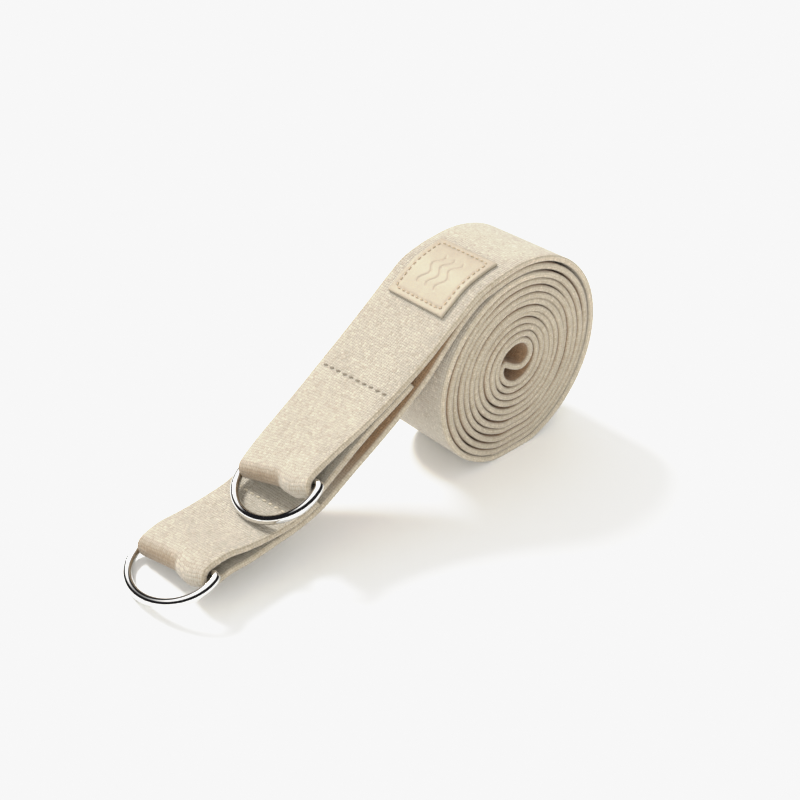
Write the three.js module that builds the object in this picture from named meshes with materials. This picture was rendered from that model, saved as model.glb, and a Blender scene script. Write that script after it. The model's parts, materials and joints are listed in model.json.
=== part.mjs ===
// A stretching strap, folded in half and rolled up from the fold, with a D-ring sewn on each end.
// Millimetres, +Z up. The strap lies along X, its two ends towards -X, and the surface it lies on is Z = 0.
// The webbing is one band on the real strap. Here it is three nodes: the roll, and the two ends leaving it.

import * as THREE from 'three';

// Webbing
const WEB_WIDTH = 38;
const WEB_THICK = 2.2;
const LOOP_WIDTH = 37.2;        // the width where the D-ring's shoulders draw the webbing in
const NODE_GAP = 0.3;           // air between two solids that touch on the real strap

// Roll: two strands wound together, clockwise from the top when seen from -Y
const LAYER_PITCH = 2.75;       // one layer of webbing and the air beside it
const ROLL_RADIUS = 40.9;       // middle of the outer strand at the top of the roll
const ROLL_HEIGHT = 38.6;       // the roll's axis above the surface, where the roll is pressed a little flat
const ROLL_START = -0.024;      // turns, where the strands leave the roll
const ROLL_END = 6.15;          // turns, at the fold in the middle of the strap
const STEPS_PER_TURN = 24;
const SLACK = 1.3;              // how far the loose outer turn stands off
const SLACK_TURN = 0.17;        // where it stands off most
const SLACK_SPREAD = 0.1;

// The part's origin is under the middle of its box. These place the roll's axis and the strap's middle line.
const ROLL_X = 55.08;
const MIDDLE_Y = -2.002;

// D-rings, bent from round wire whose ends meet in the middle of the straight bar
const WIRE = 3.2;
const RING_WIDTH = 41.6;        // between the middles of the wire
const RING_DEPTH = 17.2;
const RING_CORNER = 3;
const RING_BUTT_GAP = 0.4;
const WIRE_SIDES = 10;
const RING_STEPS = 60;

// Loops that hold the rings
const LOOP_RADIUS = WIRE / 2 + 0.35 + WEB_THICK / 2;
const LOOP_STEPS = 8;
const LOOP_TAPER = 34;          // length over which the two layers close up again
const LAYERS_APART = WEB_THICK + NODE_GAP;
const STRAND_STEP = 3.5;        // between the stations of a strand
const STRAIGHT = 6;             // the straight stretch before the bar
const NARROWING = 8;            // steps over which the webbing narrows to the ring
const STITCH_ROW = 10;          // from the cut end to the row of stitches

// Sewing
const THREAD = 0.6;
const STITCH = 3.4;
const THREAD_SIDES = 6;
const STEPS_PER_STITCH = 3;
const STITCH_RISE = 0.15;
const THREAD_CLEAR = 0.1;       // air between the thread and the webbing
const ROW_MARGIN = 3;           // webbing beyond the two ends of a row

// Label
const LABEL_WIDTH = 27.2;
const LABEL_LENGTH = 27.5;
const LABEL_THICK = 1.2;
const LABEL_START = 2;          // along the outer strand, from where it leaves the roll
const LABEL_SEAM_INSET = 2.2;
const LABEL_CORNER = 1.5;
const LABEL_PIECES = 10;
const SEAM_OPENING = 0.6;       // from the seam's first stitch to the label's middle line
const SEAM_STEPS = 60;

const degrees = THREE.MathUtils.degToRad;
const smooth = THREE.MathUtils.smoothstep;

// Each end: the route of its strand seen from the side, then the place and turn of the D-ring's bar.
// Routes are measured from the roll's axis along X, and from the surface along Z.
const UPPER = {
  layer: 0,
  side: 1,                      // the strand passes over the bar
  route: [
    [-14, 77.9], [-22, 75.3], [-29, 70.4], [-36, 64.7],
    [-45, 57.3], [-60, 46.6], [-71.5, 39.7], [-83, 34.4],
  ],
  bar: new THREE.Vector3(-94.6, 0, 26.6),
  yaw: degrees(5),
  roll: degrees(-18),
  slope: degrees(21.5),
  pitch: degrees(33.5),
  twistFrom: -40,
  foldBack: 50,
};
const LOWER = {
  layer: 1,
  side: -1,                     // the strand passes under the bar
  route: [[-13.3, 75.2], [-20.8, 73], [-27.5, 68.3], [-37, 58.8], [-43.3, 51.8], [-52.4, 43.6], [-61.5, 36.2],
    [-75, 26.2], [-89.6, 15.3], [-98.6, 11.5], [-107, 9.6], [-120, 7.4]],
  bar: new THREE.Vector3(-133.6, 5, 9.25),
  yaw: degrees(5.5),
  roll: degrees(-13.4),
  slope: degrees(9),
  pitch: degrees(19.5),
  twistFrom: -60,
  foldBack: 46,
};

const WEBBING = { color: 0xd9cfb8, roughness: 0.95, metalness: 0 };
const NICKEL = { color: 0xc9c7c0, roughness: 0.12, metalness: 1 };
const LEATHER = { color: 0xe6d8b6, roughness: 0.6, metalness: 0 };
const COTTON_THREAD = { color: 0xb9aa8a, roughness: 0.9, metalness: 0 };

const strap = new THREE.Group();
strap.position.set(ROLL_X, MIDDLE_Y, 0);

function addPiece(name, geometry, finish) {
  const mesh = new THREE.Mesh(geometry, new THREE.MeshStandardMaterial(finish));
  mesh.name = name;
  strap.add(mesh);
  return mesh;
}

// A flat band through stations, each with a middle point, a direction across, a normal and a half width.
function band(stations, thick) {
  const positions = [];
  const triangles = [];
  for (const s of stations) {
    for (const [side, face] of [[-1, -1], [1, -1], [1, 1], [-1, 1]]) {
      const corner = s.middle.clone();
      corner.addScaledVector(s.across, side * s.half);
      corner.addScaledVector(s.normal, face * thick / 2);
      positions.push(corner.x, corner.y, corner.z);
    }
  }
  const quad = (a, b, c, d) => triangles.push(a, b, c, a, c, d);
  for (let i = 0; i + 1 < stations.length; i += 1) {
    for (let k = 0; k < 4; k += 1) {
      const next = (k + 1) % 4;
      quad(4 * i + k, 4 * i + next, 4 * i + 4 + next, 4 * i + 4 + k);
    }
  }
  const last = 4 * (stations.length - 1);
  quad(3, 2, 1, 0);
  quad(last, last + 1, last + 2, last + 3);
  const geometry = new THREE.BufferGeometry();
  geometry.setAttribute('position', new THREE.Float32BufferAttribute(positions, 3));
  geometry.setIndex(triangles);
  return geometry;
}

// A round bar along a curve.
function rod(path, diameter, sides, steps) {
  const section = new THREE.Shape().absarc(0, 0, diameter / 2, 0, 2 * Math.PI);
  const options = { steps, curveSegments: sides / 2, bevelEnabled: false, extrudePath: path };
  return new THREE.ExtrudeGeometry(section, options);
}

// The middle of a layer after so many turns, and its normal. Where the roll rests, each layer is pressed flat.
function rollSpot(turn, layer) {
  const bump = (turn - SLACK_TURN) / SLACK_SPREAD;
  const slack = layer === 0 ? SLACK * Math.exp(-bump * bump) : 0;
  const radius = ROLL_RADIUS - LAYER_PITCH * (2 * turn + layer);
  const angle = 2 * Math.PI * turn;
  const layersIn = Math.round((ROLL_RADIUS - LAYER_PITCH - radius) / LAYER_PITCH);
  const lowest = WEB_THICK / 2 + LAYER_PITCH * layersIn;
  const height = ROLL_HEIGHT + (radius + slack) * Math.cos(angle);
  const pressed = height < lowest;
  return {
    middle: new THREE.Vector3((radius + slack) * Math.sin(angle), 0, Math.max(height, lowest)),
    normal: pressed ? new THREE.Vector3(0, 0, -1) : new THREE.Vector3(Math.sin(angle), 0, Math.cos(angle)),
  };
}

function rollStation(turn, layer, outward) {
  const { middle, normal } = rollSpot(turn, layer);
  const across = new THREE.Vector3(0, 1, 0);
  return { middle, across, normal: normal.multiplyScalar(outward), half: WEB_WIDTH / 2 };
}

function rollStations() {
  const stations = [];
  const steps = Math.round((ROLL_END - ROLL_START) * STEPS_PER_TURN);
  const turnAt = (i) => ROLL_START + (ROLL_END - ROLL_START) * i / steps;
  for (let i = 0; i <= steps; i += 1) {
    stations.push(rollStation(turnAt(i), 0, 1));
  }
  // the fold, half a circle from the outer strand to the inner one
  const outer = rollSpot(ROLL_END, 0).middle;
  const inner = rollSpot(ROLL_END, 1).middle;
  const centre = outer.clone().add(inner).divideScalar(2);
  const start = Math.atan2(outer.z - centre.z, outer.x - centre.x);
  for (let i = 1; i < LOOP_STEPS; i += 1) {
    const angle = start - Math.PI * i / LOOP_STEPS;
    const normal = new THREE.Vector3(Math.cos(angle), 0, Math.sin(angle));
    const middle = centre.clone().addScaledVector(normal, LAYER_PITCH / 2);
    stations.push({ middle, across: new THREE.Vector3(0, 1, 0), normal, half: WEB_WIDTH / 2 });
  }
  for (let i = steps; i >= 0; i -= 1) {
    stations.push(rollStation(turnAt(i), 1, -1));
  }
  return stations;
}

// Directions at a D-ring's bar: along the bar, on along the strand, and up from the strand.
function barFrame(end) {
  const along = new THREE.Vector3(-Math.sin(end.yaw) * Math.cos(end.roll), Math.cos(end.yaw) * Math.cos(end.roll),
    Math.sin(end.roll));
  const onward = (fall) => {
    const level = new THREE.Vector3(-Math.cos(end.yaw) * Math.cos(fall), -Math.sin(end.yaw) * Math.cos(fall),
      -Math.sin(fall));
    return level.addScaledVector(along, -along.dot(level)).normalize();
  };
  const strand = onward(end.slope);
  return { along, strand, ring: onward(end.pitch), up: along.clone().cross(strand) };
}

// The strand's stations from the roll to the bar.
function strandStations(end) {
  const frame = barFrame(end);
  const gapTurns = NODE_GAP / (2 * Math.PI * ROLL_RADIUS);
  const leave = rollSpot(ROLL_START - gapTurns, end.layer).middle;
  const arrive = end.bar.clone().addScaledVector(frame.up, end.side * LOOP_RADIUS);
  const sideways = (x) => arrive.y * smooth(-x, -end.twistFrom, -arrive.x);
  const between = end.route.map(([x, z]) => new THREE.Vector3(x, sideways(x), z));
  const beforeBar = arrive.clone().addScaledVector(frame.strand, -STRAIGHT);
  const curve = new THREE.CatmullRomCurve3([leave, ...between, beforeBar, arrive], false, 'centripetal');
  const steps = Math.round(curve.getLength() / STRAND_STEP);
  const stations = [];
  for (let i = 0; i <= steps; i += 1) {
    const middle = curve.getPointAt(i / steps);
    const tangent = i === steps ? frame.strand.clone() : curve.getTangentAt(i / steps);
    const twist = smooth(-middle.x, -end.twistFrom, -arrive.x);
    const across = new THREE.Vector3(0, 1, 0).lerp(frame.along, twist);
    across.addScaledVector(tangent, -tangent.dot(across)).normalize();
    const up = across.clone().cross(tangent);
    const half = THREE.MathUtils.lerp(WEB_WIDTH, LOOP_WIDTH, smooth(i, steps - NARROWING, steps)) / 2;
    stations.push({ middle, across, normal: up, half });
  }
  return { stations, length: curve.getLength(), frame };
}

// The whole end: along the strand, round the bar and back to the cut end.
function endStations(end) {
  const { stations: strand, length, frame } = strandStations(end);
  const turned = (vector, sign) => vector.clone().multiplyScalar(sign);
  const stations = strand.map((s) => (
    { ...s, across: turned(s.across, -end.side), normal: turned(s.normal, end.side) }));
  for (let i = 1; i < LOOP_STEPS; i += 1) {
    const angle = Math.PI * i / LOOP_STEPS;
    const normal = frame.up.clone().multiplyScalar(end.side * Math.cos(angle));
    normal.addScaledVector(frame.strand, Math.sin(angle));
    const middle = end.bar.clone().addScaledVector(normal, LOOP_RADIUS);
    stations.push({ middle, across: turned(frame.along, -end.side), normal, half: LOOP_WIDTH / 2 });
  }
  const step = length / (strand.length - 1);
  const back = Math.round(end.foldBack / step);
  for (let i = 0; i <= back; i += 1) {
    const beside = strand[strand.length - 1 - i];
    const apart = THREE.MathUtils.lerp(2 * LOOP_RADIUS, LAYERS_APART, smooth(i * step, 0, LOOP_TAPER));
    const normal = turned(beside.normal, -end.side);
    const middle = beside.middle.clone().addScaledVector(normal, apart);
    stations.push({ middle, across: turned(beside.across, -end.side), normal, half: beside.half });
  }
  return { stations, strand, back };
}

// A D-ring's wire: half the bar, round the D, and back along the other half.
function ringPath() {
  const half = RING_WIDTH / 2;
  const shoulder = half - RING_CORNER;
  const flat = (x, y) => new THREE.Vector3(x, y, 0);
  const corner = (side) => {
    const points = [flat(0, side * shoulder), flat(0, side * half), flat(-RING_CORNER, side * half)];
    return side > 0 ? points : points.reverse();
  };
  const path = new THREE.CurvePath();
  path.add(new THREE.LineCurve3(flat(0, RING_BUTT_GAP / 2), flat(0, shoulder)));
  path.add(new THREE.QuadraticBezierCurve3(...corner(1)));
  const bow = [];
  const bowSteps = 24;
  for (let i = 0; i <= bowSteps; i += 1) {
    const angle = Math.PI * i / bowSteps;
    bow.push(flat(-RING_CORNER - (RING_DEPTH - RING_CORNER) * Math.sin(angle), half * Math.cos(angle)));
  }
  path.add(new THREE.CatmullRomCurve3(bow));
  path.add(new THREE.QuadraticBezierCurve3(...corner(-1)));
  path.add(new THREE.LineCurve3(flat(0, -shoulder), flat(0, -RING_BUTT_GAP / 2)));
  return path;
}

function addRing(name, end) {
  const frame = barFrame(end);
  const inward = frame.ring.clone().negate();
  const ring = addPiece(name, rod(ringPath(), WIRE, WIRE_SIDES, RING_STEPS), NICKEL);
  ring.position.copy(end.bar);
  const upward = inward.clone().cross(frame.along);
  ring.setRotationFromMatrix(new THREE.Matrix4().makeBasis(inward, frame.along, upward));
}

// A row of stitches across a station: the thread rises on each stitch and dips between them.
function stitchRow(station, lift) {
  const stitches = Math.floor((2 * station.half - ROW_MARGIN) / STITCH);
  const points = [];
  for (let i = 0; i <= stitches * STEPS_PER_STITCH; i += 1) {
    const along = (i / STEPS_PER_STITCH - stitches / 2) * STITCH;
    const rise = STITCH_RISE * (1 - Math.cos(2 * Math.PI * i / STEPS_PER_STITCH));
    const point = station.middle.clone().addScaledVector(station.across, along);
    points.push(point.addScaledVector(station.normal, Math.sign(lift) * rise + lift));
  }
  return rod(new THREE.CatmullRomCurve3(points), THREAD, THREAD_SIDES, stitches * STEPS_PER_STITCH);
}

function addEnd(name, end) {
  const { stations, strand, back } = endStations(end);
  addPiece(`webbing_${name}_end`, band(stations, WEB_THICK), WEBBING);
  addRing(`${name}_d_ring`, end);
  // the row joins the strand to the layer folded back under or over it
  const row = strand[strand.length - 1 - back + Math.round(STITCH_ROW / STRAND_STEP)];
  const clear = WEB_THICK / 2 + THREAD / 2 + THREAD_CLEAR;
  const above = end.side > 0 ? clear : LAYERS_APART + clear;
  const below = end.side > 0 ? LAYERS_APART + clear : clear;
  addPiece(`${name}_end_needle_thread`, stitchRow(row, above), COTTON_THREAD);
  addPiece(`${name}_end_bobbin_thread`, stitchRow(row, -below), COTTON_THREAD);
  return strand;
}

// A point of the label's upper face: so far along the strand, and so far from its middle line.
function onStrand(strand, step, distance, offset, lift) {
  const exact = distance / step;
  const before = Math.floor(exact);
  const part = exact - before;
  const point = strand[before].middle.clone().lerp(strand[before + 1].middle, part);
  const normal = strand[before].normal.clone().lerp(strand[before + 1].normal, part).normalize();
  return { point: point.addScaledVector(normal, lift).add(new THREE.Vector3(0, offset, 0)), normal };
}

function addLabel(strand) {
  const step = strand[1].middle.distanceTo(strand[0].middle);
  const lift = WEB_THICK / 2 + NODE_GAP + LABEL_THICK / 2;
  const stations = [];
  for (let i = 0; i <= LABEL_PIECES; i += 1) {
    const spot = onStrand(strand, step, LABEL_START + LABEL_LENGTH * i / LABEL_PIECES, 0, lift);
    const across = new THREE.Vector3(0, -1, 0);
    stations.push({ middle: spot.point, across, normal: spot.normal, half: LABEL_WIDTH / 2 });
  }
  addPiece('label', band(stations, LABEL_THICK), LEATHER);

  const halfWidth = LABEL_WIDTH / 2 - LABEL_SEAM_INSET;
  const seam = new THREE.Shape();
  const near = LABEL_START + LABEL_SEAM_INSET;
  const far = LABEL_START + LABEL_LENGTH - LABEL_SEAM_INSET;
  seam.moveTo(near, SEAM_OPENING);
  seam.lineTo(near, halfWidth - LABEL_CORNER);
  seam.quadraticCurveTo(near, halfWidth, near + LABEL_CORNER, halfWidth);
  seam.lineTo(far - LABEL_CORNER, halfWidth);
  seam.quadraticCurveTo(far, halfWidth, far, halfWidth - LABEL_CORNER);
  seam.lineTo(far, LABEL_CORNER - halfWidth);
  seam.quadraticCurveTo(far, -halfWidth, far - LABEL_CORNER, -halfWidth);
  seam.lineTo(near + LABEL_CORNER, -halfWidth);
  seam.quadraticCurveTo(near, -halfWidth, near, LABEL_CORNER - halfWidth);
  seam.lineTo(near, -SEAM_OPENING);
  const threadLift = lift + LABEL_THICK / 2 + THREAD / 2 + STITCH_RISE;
  const spots = seam.getSpacedPoints(SEAM_STEPS);
  const points = spots.map((spot) => onStrand(strand, step, spot.x, spot.y, threadLift).point);
  const seamThread = rod(new THREE.CatmullRomCurve3(points), THREAD, THREAD_SIDES, SEAM_STEPS);
  addPiece('label_thread', seamThread, COTTON_THREAD);
}

addPiece('webbing_roll', band(rollStations(), WEB_THICK), WEBBING);
const outerStrand = addEnd('upper', UPPER);
addEnd('lower', LOWER);
addLabel(outerStrand);

export default strap;
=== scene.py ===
import json
import math

import bpy
import numpy as np
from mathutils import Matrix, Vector


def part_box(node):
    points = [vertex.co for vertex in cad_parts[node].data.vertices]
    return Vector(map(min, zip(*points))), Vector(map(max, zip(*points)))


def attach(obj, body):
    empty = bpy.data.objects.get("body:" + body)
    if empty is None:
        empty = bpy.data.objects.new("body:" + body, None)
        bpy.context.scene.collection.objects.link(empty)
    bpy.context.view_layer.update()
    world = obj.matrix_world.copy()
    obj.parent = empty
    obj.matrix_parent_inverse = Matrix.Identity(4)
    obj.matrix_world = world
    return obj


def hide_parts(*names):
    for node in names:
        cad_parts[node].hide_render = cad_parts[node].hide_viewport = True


# A stretching strap, folded in half and rolled up from the fold, with a D-ring sewn on each end.
# Shapes are worked out in millimetres from a point on the floor under the roll's axis, and made in metres.

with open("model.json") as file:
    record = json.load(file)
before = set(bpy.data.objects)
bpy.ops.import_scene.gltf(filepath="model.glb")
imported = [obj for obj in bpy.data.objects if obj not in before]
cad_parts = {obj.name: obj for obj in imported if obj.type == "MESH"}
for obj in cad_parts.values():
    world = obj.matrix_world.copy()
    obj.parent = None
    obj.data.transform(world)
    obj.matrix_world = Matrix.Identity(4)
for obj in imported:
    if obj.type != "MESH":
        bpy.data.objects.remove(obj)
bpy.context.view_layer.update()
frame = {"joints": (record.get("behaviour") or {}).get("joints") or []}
MM = 0.001

# Webbing
WEB_WIDTH = 38.0
WEB_THICK = 2.3
LOOP_WIDTH = 37.8           # where the D-ring's shoulders draw it in
NARROWS = (6.0, 30.0)       # from the middle of a loop, between which it reaches its full width again
SELVEDGE = 0.7              # how far in from the edge it starts to round off
FACE_HALF = WEB_WIDTH / 2 - SELVEDGE
SQUARENESS = 0.6            # 1 for a half round selvedge, less for a squarer one
EDGE_STEPS = 4
WEFT_PITCH = 1.8            # weft loops along the selvedge
SCALLOP = 0.07
STATION = WEFT_PITCH / 3    # step along the band
DENSE = 0.3                 # step of the curves that the band is drawn from
SMOOTHING = 3               # passes over the band's middle line
YARN = 0.95                 # from one yarn to the next
# slow drifts along the band: size, and the length of one radian of the wave
WIDTH_DRIFT = [(0.10, 19.0), (0.06, 7.3)]
ROLL_DRIFT = [(0.28, 31.0), (0.18, 11.7)]

# Roll
LAYER_PITCH = 2.65
ROLL_RADIUS = 40.9
ROLL_HEIGHT = 38.6
ROLL_START = -0.024         # turns, where the strands leave the roll
ROLL_EASE = 60.0            # over which the roll's unevenness sets in
OUTER_END = 6.0             # turns, where the outer strand leaves the winding for the fold
INNER_END = 5.72            # the same of the inner strand
CORE_SHIFT = (-0.3, 1.5)    # how far the innermost turns have slipped from the axis
CORE_TURNS = (1.5, 5.5)     # turns over which the slip grows
FLOOR_SOFT = 0.2            # how softly the lowest layers are pressed flat by the floor
FAR_SIDE = (0.1, 0.9)       # the roll's side away from the strands, as the cosine of the angle to it
PRESSED = 0.09              # how much further each face stands out there, where the gaps are narrower
# unevenness of the winding: height, radians in each turn, and how far it is shifted between the strands
UNEVEN = [(0.08, 17.3, 2), (0.05, 41.0, 1)]
# loose places in the winding: turn, spread in turns, height, and how many layers share it
SLACK = [(0.17, 0.12, 1.7, 1.8), (0.62, 0.09, 0.8, 4.0), (0.36, 0.08, 0.35, 3.0)]
# the loose fold in the roll's middle, from the outer strand round to the inner one, from the roll's axis
FOLD = [
    (3.2, 9.6), (6.0, 6.9), (6.9, 3.2), (5.4, 0.0), (2.4, -1.3),
    (-1.0, -0.4), (-4.2, 1.4), (-6.2, 2.7), (-7.7, 2.2),
]
FOLD_LEAD = 12              # points into the winding that steer the fold's two ends

# Ends: the side view of each strand, from the roll's axis, as far as its D-ring
UPPER = {
    "joint": "upper_ring_swivel",
    "layer": 0,             # counted from the roll's outside
    "side": 1,              # the strand passes over the bar
    "route": [
        (-14, 77.9), (-22, 75.3), (-29, 70.4), (-36, 64.7),
        (-45, 57.3), (-60, 46.6), (-71.5, 39.7), (-83, 34.4),
    ],
    "slope": math.radians(21.5),    # how steeply the strand comes down to its bar
    "pitch": math.radians(33.5),    # how steeply the ring hangs down from the bar
    "twist_from": -42,              # where the strand starts to turn towards its tilted bar
    "fold_back": 50,                # length of the folded-back layer
}
LOWER = {
    "joint": "lower_ring_swivel",
    "layer": 1,
    "side": -1,             # the strand passes under the bar
    "route": [
        (-13.3, 75.2), (-20.8, 73), (-27.5, 68.3), (-37, 58.8), (-43.3, 51.8), (-52.4, 43.6),
        (-61.5, 36.2), (-75, 26.2), (-89.6, 15.3), (-98.6, 11.5), (-107, 9.6), (-120, 7.4),
    ],
    "slope": math.radians(9),
    "pitch": math.radians(19.5),
    "twist_from": -58,
    "fold_back": 46,
}
BAR_FROM_ROLL = 94.6        # the upper bar's distance from the roll's axis, along X
TWIST_EASE = 1.3            # above 1, a strand turns towards its tilted bar mostly near the bar
STRAIGHT = 6.0              # straight run of a strand before its bar

# D-rings
WIRE = 3.2
WIRE_SIDES = 28
WIRE_STEPS = 260
WIRE_END = 0.45             # radius that the wire's cut ends are dressed to
RING_WIDTH = 41.6
RING_DEPTH = 17.2
RING_CORNER = 3.0
RING_BUTT_GAP = 0.4
BAR_POINTS = 20             # points in each half of the bar
CORNER_POINTS = 14
BOW_POINTS = 90

# Loops round the bars
LOOP_ROOM = 0.35            # between the wire and the webbing
LOOP_RADIUS = WIRE / 2 + LOOP_ROOM + WEB_THICK / 2
LAYER_ROOM = 0.3            # between the strand and the folded-back layer
LAYERS_APART = WEB_THICK + LAYER_ROOM
LAYERS_MEET = 34.0          # from the bar, where the folded-back layer lies on the strand
LOOP_SHADE_REACH = 3.4               # each way from the loop's middle, over which the loop is painted darker as shade
# The front half of each loop is loose. Across, in shares of half the width:
CREASE = 0.24               # where the loose half starts
LOOSE_RISE = (CREASE - 0.16, CREASE + 0.3)
LOOSE_FALL = (0.6, 1.0)     # where it draws in again by half, towards the front edge
RIDGE_AT = CREASE + 0.02
RIDGE_WIDTH = 0.05
# how far it stands out, the height of the crease's ridge and how far it droops, each with its reach
# along the band
BULGE, BULGE_REACH = 2.3, 9.0
RIDGE, RIDGE_REACH = 0.45, 6.0
DROOP, DROOP_REACH = 0.7, 4.0
FACE_SPOTS = (-0.62, -0.25, 0.05, 0.16, CREASE, 0.33, 0.62)   # across a face, between the two selvedges

# Sewing
STITCH_ROW = 10.0           # from the cut end
STITCH = 3.4
STITCH_SHOWS = 0.62         # of each stitch's length
STITCH_POINTS = 9
STITCH_SLANT = 0.25
STITCH_PROUD = 0.16         # of the thread's middle over the cloth
STITCH_DIVE = 0.55          # of a stitch's two ends, into the cloth
ROW_MARGIN = 3.5            # of the webbing's width, without stitches
THREAD = 0.75
THREAD_SIDES = 8

# Label
LABEL_WIDTH = 27.2
LABEL_LENGTH = 27.5
LABEL_THICK = 1.2
LABEL_START = 2.0
LABEL_BASE = WEB_THICK / 2 + 0.12
LABEL_STEP = 0.3            # between the points of its surface
LABEL_EDGE = 0.6            # over which its edge rounds off
LABEL_EDGE_DROP = 0.35
LABEL_SEAM_INSET = 2.2
LABEL_SEAM_CORNER = 1.5
LABEL_SEAM_DEPTH = 0.16     # of the dent that the seam pulls in the leather
LABEL_SEAM_SPREAD = 0.7
LABEL_STITCH = 2.3
LABEL_STITCH_SHOWS = 0.66
LABEL_STITCH_PROUD = 0.14
LABEL_STITCH_DIVE = 0.4
LABEL_THREAD = 0.6
MARK_INSET = 6.5            # from the label's two ends to the wavy lines
MARK_FADE = 1.0
MARK_LINES = (-4.2, 0.0, 4.2)
MARK_SWING = 1.15
MARK_WAVE = 7.2
MARK_SPREAD = 0.42
MARK_DEPTH = 0.30

# Painted light and shade along the band
OUTER_TURN = 262.0          # the length of the roll's outside turn, from where the strand enters the roll; it is painted paler, as painted light
SHADED = 92.0               # of the lower strand from the roll on, which lies in the upper one's shade

joints = {joint["name"]: joint for joint in frame["joints"]}
roll_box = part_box("webbing_roll")
ORIGIN = np.array([
    joints["upper_ring_swivel"]["pos_m"][0] / MM + BAR_FROM_ROLL,
    (roll_box[0].y + roll_box[1].y) / 2 / MM,
    0.0,
])


# ---------------------------------------------------------------- camera

camera_data = bpy.data.cameras.new("camera")
camera_data.lens = 50
camera = bpy.data.objects.new("camera", camera_data)
camera.location = (-0.2085, -0.2482, 0.2539)
camera.rotation_euler = (math.radians(56.3), 0, math.radians(-42.1))
bpy.context.scene.collection.objects.link(camera)
bpy.context.scene.camera = camera


# ---------------------------------------------------------------- small helpers

def smooth(x, low, high):
    """0 below low, 1 above high, and a smooth rise between."""
    part = np.clip((x - low) / (high - low), 0, 1)
    return part * part * (3 - 2 * part)


def bell(x, spread):
    """1 at x = 0, falling smoothly to nearly 0 at twice the spread."""
    return np.exp(-(x / spread) ** 2)


def unit(vectors):
    """The vectors at length 1."""
    return vectors / np.linalg.norm(vectors, axis=-1, keepdims=True)


def square_to(vectors, tangents):
    """The vectors made square to the tangents, at length 1."""
    return unit(vectors - (vectors * tangents).sum(-1, keepdims=True) * tangents)


def travel(points):
    """The distance along a line of points."""
    steps = np.linalg.norm(np.diff(points, axis=0), axis=1)
    return np.concatenate([[0], np.cumsum(steps)])


def resample(distance, values, at):
    """The rows of values, known at each distance, as they are at other distances."""
    return np.stack([np.interp(at, distance, column) for column in np.asarray(values).T], axis=1)


def tangents_of(points):
    """The direction of a line at each of its points."""
    return unit(np.gradient(points, axis=0))


def spline(points, before=None, after=None):
    """A centripetal Catmull-Rom curve through the points. before and after steer its two ends."""
    points = [np.asarray(p, float) for p in points]
    first = 2 * points[0] - points[1] if before is None else np.asarray(before, float)
    last = 2 * points[-1] - points[-2] if after is None else np.asarray(after, float)
    chain = [first, *points, last]
    pieces = []
    for p0, p1, p2, p3 in zip(chain, chain[1:], chain[2:], chain[3:]):
        gaps = [np.linalg.norm(b - a) for a, b in ((p0, p1), (p1, p2), (p2, p3))]
        knots = np.cumsum([0] + [max(gap, 1e-6) ** 0.5 for gap in gaps])
        count = max(2, int(np.linalg.norm(p2 - p1) / DENSE))
        t = np.linspace(knots[1], knots[2], count, endpoint=False)[:, None]

        def mix(a, b, start, end):
            return ((end - t) * a + (t - start) * b) / (end - start)

        a1 = mix(p0, p1, knots[0], knots[1])
        a2 = mix(p1, p2, knots[1], knots[2])
        a3 = mix(p2, p3, knots[2], knots[3])
        b1 = mix(a1, a2, knots[0], knots[2])
        b2 = mix(a2, a3, knots[1], knots[3])
        pieces.append(mix(b1, b2, knots[1], knots[2]))
    pieces.append(np.array([points[-1]]))
    return np.concatenate(pieces)


def drift(at, waves):
    """A slow, uneven drift along the band."""
    return sum(height * np.sin(at / length) for height, length in waves)


def make_object(name, points, faces, uvs=None):
    """A mesh object from points in millimetres. uvs gives each face's corners, in metres."""
    mesh = bpy.data.meshes.new(name)
    mesh.from_pydata(((np.asarray(points) + ORIGIN) * MM).tolist(), [], [list(map(int, f)) for f in faces])
    if uvs is not None:
        layer = mesh.uv_layers.new(name="weave")
        layer.data.foreach_set("uv", np.asarray(uvs, float).reshape(-1))
    mesh.polygons.foreach_set("use_smooth", [True] * len(mesh.polygons))
    mesh.update()
    piece = bpy.data.objects.new(name, mesh)
    bpy.context.scene.collection.objects.link(piece)
    return piece


def sweep(sections):
    """Quads between closed sections of one point count, and the two ends' caps."""
    rows, count = sections.shape[:2]
    index = np.arange(rows * count).reshape(rows, count)
    following = np.roll(index, -1, axis=1)
    faces = np.stack([index[:-1], following[:-1], following[1:], index[1:]], axis=-1).reshape(-1, 4)
    return sections.reshape(-1, 3), faces, [index[0][::-1], index[-1]]


def sleeve_uvs(along, around):
    """UVs in millimetres for sweep()'s quads. around has one more value than a section has points."""
    u = np.tile(np.stack([around[:-1], around[1:], around[1:], around[:-1]], axis=1), (len(along) - 1, 1))
    v = np.repeat(np.stack([along[:-1], along[:-1], along[1:], along[1:]], axis=1), len(around) - 1, axis=0)
    return np.stack([u, v], axis=-1).reshape(-1, 2)


def circle_spokes(outward, upward, sides):
    """Spokes of a circle round each point of a line, in the plane of its two directions."""
    angle = 2 * np.pi * np.arange(sides) / sides
    return outward[:, None] * np.cos(angle)[None, :, None] + upward[:, None] * np.sin(angle)[None, :, None]


# ---------------------------------------------------------------- the band's middle line

def slack(turn, depth):
    """How far a layer stands off, depth layers in from the outside."""
    total = 0
    for centre, spread, height, layers in SLACK:
        past = (turn - centre + 0.5) % 1 - 0.5
        total = total + height * bell(past, spread) * np.clip(1 - (depth - 2 * centre) / layers, 0, 1)
    return total


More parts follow.
